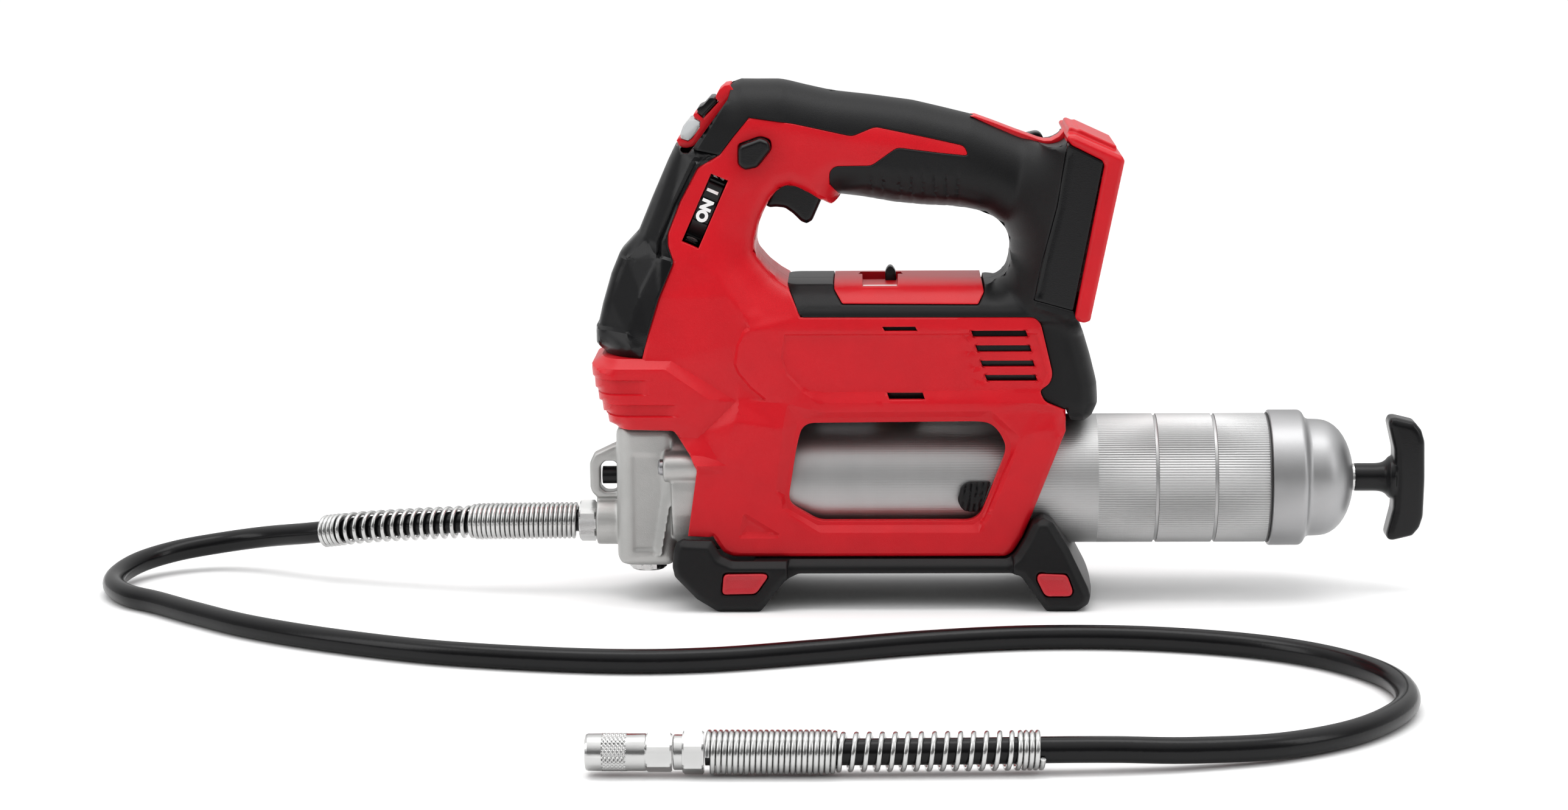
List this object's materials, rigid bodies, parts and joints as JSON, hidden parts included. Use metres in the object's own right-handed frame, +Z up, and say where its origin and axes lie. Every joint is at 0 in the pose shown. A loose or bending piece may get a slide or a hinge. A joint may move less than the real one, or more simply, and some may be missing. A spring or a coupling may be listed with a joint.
{
  "type": "cordless grease gun",
  "caption": "Cordless grease gun with a D handle, trigger, thumb-wheel meter, screw-in barrel with T-handle follower, skid feet and a flexible hose with a coupler.",
  "frame": {"origin": "under the middle of the tool, hose left out, on the plane of its four feet", "axes": "+X from the hose outlet to the T-handle, along the barrel; +Y to the tool's right side; +Z up"},
  "size_m": [0.5898, 0.3559, 0.2297],
  "materials": {
    "red_nylon": "textured satin",
    "black_rubber": "matt soft-touch",
    "black_nylon": "satin",
    "cast_alloy": "satin cast",
    "aluminium": "brushed satin",
    "zinc_steel": "bright zinc plated",
    "hose_rubber": "smooth gloss",
    "clear_lens": "clear",
    "copper": "wound",
    "brass": "tin plated",
    "green_board": "solder mask",
    "gear_steel": "machined"
  },
  "bodies": {
    "tool": {"left_housing": "red_nylon", "right_housing": "red_nylon", "left_overmould": "black_rubber", "right_overmould": "black_rubber", "nose_guard": "black_nylon", "light_panel": "red_nylon", "light_lens": "clear_lens", "selector_cover": "red_nylon", "battery_rails": "red_nylon", "terminal_block": "black_nylon", "terminal_blade_1": "brass", "terminal_blade_2": "brass", "terminal_blade_3": "brass", "trigger_switch": "black_nylon", "dial_axle": "zinc_steel", "control_board": "green_board", "left_front_foot_insert": "red_nylon", "right_front_foot_insert": "red_nylon", "left_rear_foot_insert": "red_nylon", "right_rear_foot_insert": "red_nylon", "base_skid": "black_nylon", "pump_head": "cast_alloy", "head_plug": "zinc_steel", "left_head_screw": "zinc_steel", "right_head_screw": "zinc_steel", "barrel_pad": "black_rubber", "motor_can": "zinc_steel", "motor_end_cap": "black_nylon", "ring_gear": "gear_steel", "output_bearing": "gear_steel", "hose": "hose_rubber", "hose_spring_gun": "zinc_steel", "hose_spring_end": "zinc_steel", "hose_nut": "zinc_steel", "hose_adapter": "zinc_steel", "grease_coupler": "zinc_steel"},
    "trigger": {"trigger": "black_nylon"},
    "lock_button": {"lock_off_button": "black_nylon"},
    "light_switch": {"light_button": "black_nylon"},
    "speed_slider": {"speed_selector": "black_nylon"},
    "dial": {"metering_dial": "black_nylon"},
    "bleeder": {"bleed_valve": "black_nylon"},
    "barrel": {"barrel_tube": "aluminium", "follower_spring": "zinc_steel"},
    "cap": {"barrel_cap": "cast_alloy"},
    "follower": {"follower_rod": "zinc_steel", "t_handle": "black_nylon", "follower_piston": "black_rubber"},
    "rotor": {"armature": "copper", "cooling_fan": "black_nylon", "sun_gear": "gear_steel"},
    "carrier": {"planet_carrier": "gear_steel", "crank_disc": "gear_steel"},
    "planet_1": {"planet_gear_1": "gear_steel"},
    "planet_2": {"planet_gear_2": "gear_steel"},
    "planet_3": {"planet_gear_3": "gear_steel"},
    "plunger": {"scotch_yoke": "gear_steel", "pump_plunger": "gear_steel"},
    "valve_ball": {"check_valve_ball": "gear_steel"}
  },
  "joints": [
    {"name": "trigger_pull", "type": "slide", "parent": "tool", "child": "trigger", "axis": [0.5812, 0, 0.8137], "range_m": [0, 0.006], "stiffness_N_per_m": 400, "springref_m": -0.004},
    {"name": "lock_off_push", "type": "slide", "parent": "tool", "child": "lock_button", "axis": [0, 1, 0], "range_m": [-0.003, 0.003]},
    {"name": "light_press", "type": "slide", "parent": "tool", "child": "light_switch", "axis": [0.7266, 0, -0.687], "range_m": [0, 0.001], "stiffness_N_per_m": 400, "springref_m": -0.001},
    {"name": "speed_shift", "type": "slide", "parent": "tool", "child": "speed_slider", "axis": [-1, 0, 0], "range_m": [0, 0.0098]},
    {"name": "dial_turn", "type": "hinge", "parent": "tool", "child": "dial", "pos_m": [-0.1313, -0.0052, 0.1743], "axis": [0.9152, 0, -0.4031], "continuous": true},
    {"name": "bleed_press", "type": "slide", "parent": "tool", "child": "bleeder", "axis": [1, 0, 0], "range_m": [0, 0.0015], "stiffness_N_per_m": 800, "springref_m": -0.001},
    {"name": "barrel_unscrew", "type": "hinge", "parent": "tool", "child": "barrel", "pos_m": [0, 0, 0.0516], "axis": [1, 0, 0], "range_deg": [0, 1080]},
    {"name": "cap_unscrew", "type": "hinge", "parent": "barrel", "child": "cap", "pos_m": [0.1157, 0, 0.0516], "axis": [1, 0, 0], "range_deg": [0, 1080]},
    {"name": "follower_pull", "type": "slide", "parent": "cap", "child": "follower", "axis": [1, 0, 0], "range_m": [0, 0.19], "deforming": ["follower_spring"]},
    {"name": "rotor_spin", "type": "hinge", "parent": "tool", "child": "rotor", "pos_m": [-0.03, 0, 0.105], "axis": [1, 0, 0], "continuous": true},
    {"name": "carrier_spin", "type": "hinge", "parent": "tool", "child": "carrier", "pos_m": [-0.076, 0, 0.105], "axis": [1, 0, 0], "continuous": true},
    {"name": "planet_1_spin", "type": "hinge", "parent": "carrier", "child": "planet_1", "pos_m": [-0.0655, 0, 0.11625], "axis": [1, 0, 0], "continuous": true},
    {"name": "planet_2_spin", "type": "hinge", "parent": "carrier", "child": "planet_2", "pos_m": [-0.0655, -0.00974, 0.09938], "axis": [1, 0, 0], "continuous": true},
    {"name": "planet_3_spin", "type": "hinge", "parent": "carrier", "child": "planet_3", "pos_m": [-0.0655, 0.00974, 0.09938], "axis": [1, 0, 0], "continuous": true},
    {"name": "pump_stroke", "type": "slide", "parent": "tool", "child": "plunger", "axis": [0, 0, 1], "range_m": [-0.008, 0.008]},
    {"name": "valve_lift", "type": "slide", "parent": "tool", "child": "valve_ball", "axis": [0, 0, 1], "range_m": [0, 0.001], "stiffness_N_per_m": 100, "springref_m": -0.001}
  ],
  "couplings": [
    {"joint": "carrier_spin", "follows": "rotor_spin", "ratio": 0.2},
    {"joint": "planet_1_spin", "follows": "rotor_spin", "ratio": -0.53333},
    {"joint": "planet_2_spin", "follows": "rotor_spin", "ratio": -0.53333},
    {"joint": "planet_3_spin", "follows": "rotor_spin", "ratio": -0.53333}
  ]
}
